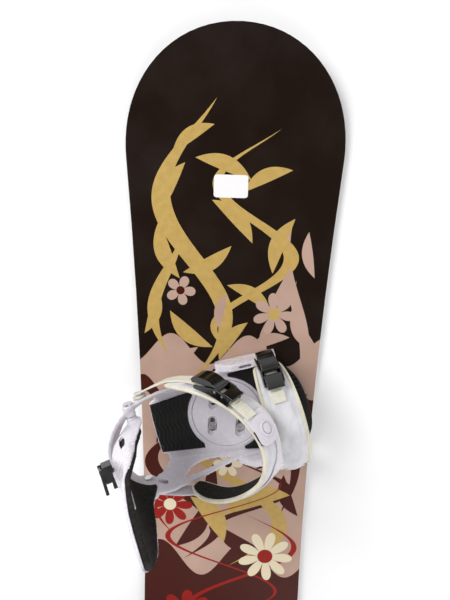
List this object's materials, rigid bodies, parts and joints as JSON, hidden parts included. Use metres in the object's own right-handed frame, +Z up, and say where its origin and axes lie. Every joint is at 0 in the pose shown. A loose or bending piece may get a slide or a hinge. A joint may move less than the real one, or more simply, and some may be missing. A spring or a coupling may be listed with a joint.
{
  "type": "snowboard with bindings",
  "caption": "Directional twin-tip snowboard carrying a pair of strap bindings with folding highbacks, ratchet buckles, ladder straps and slotted mounting discs.",
  "frame": {"origin": "centre of the board on the flat running base", "axes": "+Y towards the nose along the board, +X towards the toe edge, +Z up from the base"},
  "size_m": [0.3074, 1.466, 0.289],
  "materials": {
    "base_sheet": "satin",
    "steel_edge": "ground",
    "wood_core": "bare",
    "sidewalls": "satin",
    "threaded_inserts": "plain",
    "topsheet": "clear gloss",
    "baseplate": "gloss",
    "disc": "gloss",
    "disc_screws": "zinc",
    "heel_pad": "matt",
    "toe_ramp": "matt",
    "highback": "gloss",
    "highback_pad": "foam",
    "highback_bolts": "zinc",
    "lean_block": "satin",
    "lean_latch": "satin",
    "ankle_pad": "padded",
    "ankle_band": "gloss",
    "ankle_ladder": "satin",
    "ankle_buckle_strap": "satin",
    "ankle_buckle": "gloss",
    "ankle_pins": "plain",
    "ankle_lever": "gloss",
    "ankle_release": "gloss",
    "toe_pad": "padded",
    "toe_end_block": "gloss",
    "toe_ladder": "satin",
    "toe_buckle_strap": "satin",
    "toe_buckle": "gloss",
    "toe_pins": "plain",
    "toe_lever": "gloss",
    "toe_release": "gloss",
    "strap_bolts": "zinc"
  },
  "bodies": {
    "chassis": {"base_sheet": "base_sheet", "steel_edge": "steel_edge", "wood_core": "wood_core", "sidewalls": "sidewalls", "threaded_inserts": "threaded_inserts", "topsheet": "topsheet", "front_baseplate": "baseplate", "front_heel_pad": "heel_pad", "front_toe_ramp": "toe_ramp", "front_disc": "disc", "front_disc_screws": "disc_screws", "front_highback_bolts": "highback_bolts", "front_strap_bolts": "strap_bolts", "rear_baseplate": "baseplate", "rear_heel_pad": "heel_pad", "rear_toe_ramp": "toe_ramp", "rear_disc": "disc", "rear_disc_screws": "disc_screws", "rear_highback_bolts": "highback_bolts", "rear_strap_bolts": "strap_bolts"},
    "front_highback_body": {"front_highback": "highback", "front_highback_pad": "highback_pad"},
    "front_lean_block_body": {"front_lean_block": "lean_block"},
    "front_lean_latch_body": {"front_lean_latch": "lean_latch"},
    "front_ankle_strap": {"front_ankle_pad": "ankle_pad", "front_ankle_band": "ankle_band", "front_ankle_ladder": "ankle_ladder", "front_ankle_buckle_strap": "ankle_buckle_strap", "front_ankle_buckle": "ankle_buckle", "front_ankle_pins": "ankle_pins"},
    "front_ankle_lever_body": {"front_ankle_lever": "ankle_lever"},
    "front_ankle_release_body": {"front_ankle_release": "ankle_release"},
    "front_toe_strap": {"front_toe_pad": "toe_pad", "front_toe_end_block": "toe_end_block", "front_toe_ladder": "toe_ladder", "front_toe_buckle_strap": "toe_buckle_strap", "front_toe_buckle": "toe_buckle", "front_toe_pins": "toe_pins"},
    "front_toe_lever_body": {"front_toe_lever": "toe_lever"},
    "front_toe_release_body": {"front_toe_release": "toe_release"},
    "rear_highback_body": {"rear_highback": "highback", "rear_highback_pad": "highback_pad"},
    "rear_lean_block_body": {"rear_lean_block": "lean_block"},
    "rear_lean_latch_body": {"rear_lean_latch": "lean_latch"},
    "rear_ankle_strap": {"rear_ankle_pad": "ankle_pad", "rear_ankle_band": "ankle_band", "rear_ankle_ladder": "ankle_ladder", "rear_ankle_buckle_strap": "ankle_buckle_strap", "rear_ankle_buckle": "ankle_buckle", "rear_ankle_pins": "ankle_pins"},
    "rear_ankle_lever_body": {"rear_ankle_lever": "ankle_lever"},
    "rear_ankle_release_body": {"rear_ankle_release": "ankle_release"},
    "rear_toe_strap": {"rear_toe_pad": "toe_pad", "rear_toe_end_block": "toe_end_block", "rear_toe_ladder": "toe_ladder", "rear_toe_buckle_strap": "toe_buckle_strap", "rear_toe_buckle": "toe_buckle", "rear_toe_pins": "toe_pins"},
    "rear_toe_lever_body": {"rear_toe_lever": "toe_lever"},
    "rear_toe_release_body": {"rear_toe_release": "toe_release"}
  },
  "joints": [
    {"name": "front_highback_fold", "type": "hinge", "parent": "chassis", "child": "front_highback_body", "pos_m": [-0.11205, 0.19598, 0.078], "axis": [-0.2588, 0.9659, 0], "range_deg": [0, 45]},
    {"name": "front_lean_block_slide", "type": "slide", "parent": "front_highback_body", "child": "front_lean_block_body", "axis": [0.4082, 0.1094, 0.9063], "range_m": [0, 0.015]},
    {"name": "front_lean_latch_turn", "type": "hinge", "parent": "front_lean_block_body", "child": "front_lean_latch_body", "pos_m": [-0.15318, 0.19427, 0.1244], "axis": [-0.4082, -0.1094, -0.9063], "range_deg": [0, 50]},
    {"name": "front_ankle_strap_swing", "type": "hinge", "parent": "chassis", "child": "front_ankle_strap", "pos_m": [-0.10046, 0.19908, 0.06], "axis": [-0.2588, 0.9659, 0], "range_deg": [-40, 2]},
    {"name": "front_ankle_lever_turn", "type": "hinge", "parent": "front_ankle_strap", "child": "front_ankle_lever_body", "pos_m": [-0.00854, 0.30455, 0.12213], "axis": [0.5947, 0.1593, -0.788], "range_deg": [0, 60]},
    {"name": "front_ankle_release_turn", "type": "hinge", "parent": "front_ankle_strap", "child": "front_ankle_release_body", "pos_m": [0.00028, 0.30152, 0.12817], "axis": [-0.5947, -0.1593, 0.788], "range_deg": [0, 20], "stiffness_Nm_per_rad": 0.1},
    {"name": "front_toe_strap_swing", "type": "hinge", "parent": "chassis", "child": "front_toe_strap", "pos_m": [0.06955, 0.24463, 0.034], "axis": [-0.2588, 0.9659, 0], "range_deg": [-3, 25]},
    {"name": "front_toe_lever_turn", "type": "hinge", "parent": "front_toe_strap", "child": "front_toe_lever_body", "pos_m": [0.05232, 0.31727, 0.08659], "axis": [0.9565, 0.2563, -0.1392], "range_deg": [0, 60]},
    {"name": "front_toe_release_turn", "type": "hinge", "parent": "front_toe_strap", "child": "front_toe_release_body", "pos_m": [0.05492, 0.31142, 0.09367], "axis": [-0.9565, -0.2563, 0.1392], "range_deg": [0, 20], "stiffness_Nm_per_rad": 0.1},
    {"name": "rear_highback_fold", "type": "hinge", "parent": "chassis", "child": "rear_highback_body", "pos_m": [-0.11536, -0.24188, 0.078], "axis": [0.1045, 0.9945, 0], "range_deg": [0, 45]},
    {"name": "rear_lean_block_slide", "type": "slide", "parent": "rear_highback_body", "child": "rear_lean_block_body", "axis": [0.4203, -0.0442, 0.9063], "range_m": [0, 0.015]},
    {"name": "rear_lean_latch_turn", "type": "hinge", "parent": "rear_lean_block_body", "child": "rear_lean_latch_body", "pos_m": [-0.15625, -0.24663, 0.1244], "axis": [0.4203, -0.0442, 0.9063], "range_deg": [0, 50]},
    {"name": "rear_ankle_strap_swing", "type": "hinge", "parent": "chassis", "child": "rear_ankle_strap", "pos_m": [-0.10343, -0.24313, 0.06], "axis": [0.1045, 0.9945, 0], "range_deg": [-40, 2]},
    {"name": "rear_ankle_lever_turn", "type": "hinge", "parent": "rear_ankle_strap", "child": "rear_ankle_lever_body", "pos_m": [0.00385, -0.33292, 0.12213], "axis": [-0.6123, 0.0644, 0.788], "range_deg": [0, 60]},
    {"name": "rear_ankle_release_turn", "type": "hinge", "parent": "rear_ankle_strap", "child": "rear_ankle_release_body", "pos_m": [0.01209, -0.32854, 0.12817], "axis": [0.6123, -0.0644, -0.788], "range_deg": [0, 20], "stiffness_Nm_per_rad": 0.1},
    {"name": "rear_toe_strap_swing", "type": "hinge", "parent": "chassis", "child": "rear_toe_strap", "pos_m": [0.07161, -0.26153, 0.034], "axis": [0.1045, 0.9945, 0], "range_deg": [-3, 25]},
    {"name": "rear_toe_lever_turn", "type": "hinge", "parent": "rear_toe_strap", "child": "rear_toe_lever_body", "pos_m": [0.06595, -0.33597, 0.08659], "axis": [-0.9848, 0.1035, 0.1392], "range_deg": [0, 60]},
    {"name": "rear_toe_release_turn", "type": "hinge", "parent": "rear_toe_strap", "child": "rear_toe_release_body", "pos_m": [0.0676, -0.32978, 0.09367], "axis": [0.9848, -0.1035, -0.1392], "range_deg": [0, 20], "stiffness_Nm_per_rad": 0.1}
  ]
}
